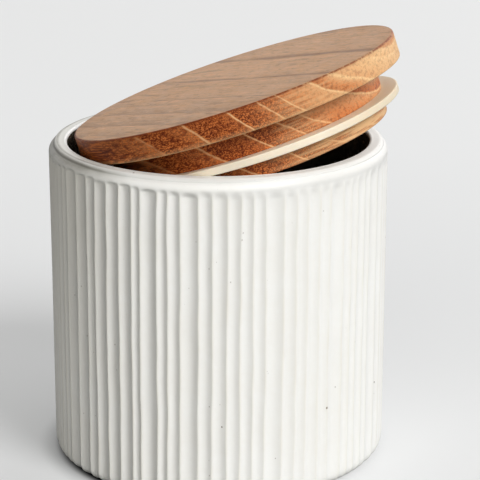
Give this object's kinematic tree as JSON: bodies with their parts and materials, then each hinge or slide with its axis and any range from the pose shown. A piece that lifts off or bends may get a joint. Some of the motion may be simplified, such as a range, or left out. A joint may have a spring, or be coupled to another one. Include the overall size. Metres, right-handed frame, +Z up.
{
  "type": "salt canister with loose lid",
  "caption": "Fluted stoneware salt canister, open at the top, with a loose turned wooden lid leaning in its mouth; a silicone ring round the lid's plug seals it when closed.",
  "frame": {"origin": "centre of the flat underside, on the surface that the canister stands on", "axes": "+Z up along the canister's axis; the lid's low side is towards -X, and a viewer in front looks along +Y"},
  "size_m": [0.1131, 0.11, 0.1403],
  "materials": {
    "stoneware": "matte white glaze with fine iron specks; dark brown glaze inside",
    "wood": "oiled",
    "silicone": "satin"
  },
  "bodies": {
    "canister": {"canister": "stoneware"},
    "lid": {"lid": "wood", "seal_ring": "silicone"}
  },
  "joints": [
    {"name": "lid_lift", "type": "slide", "parent": "canister", "child": "lid", "axis": [0, 0, 1], "range_m": [0, 0.08]}
  ]
}
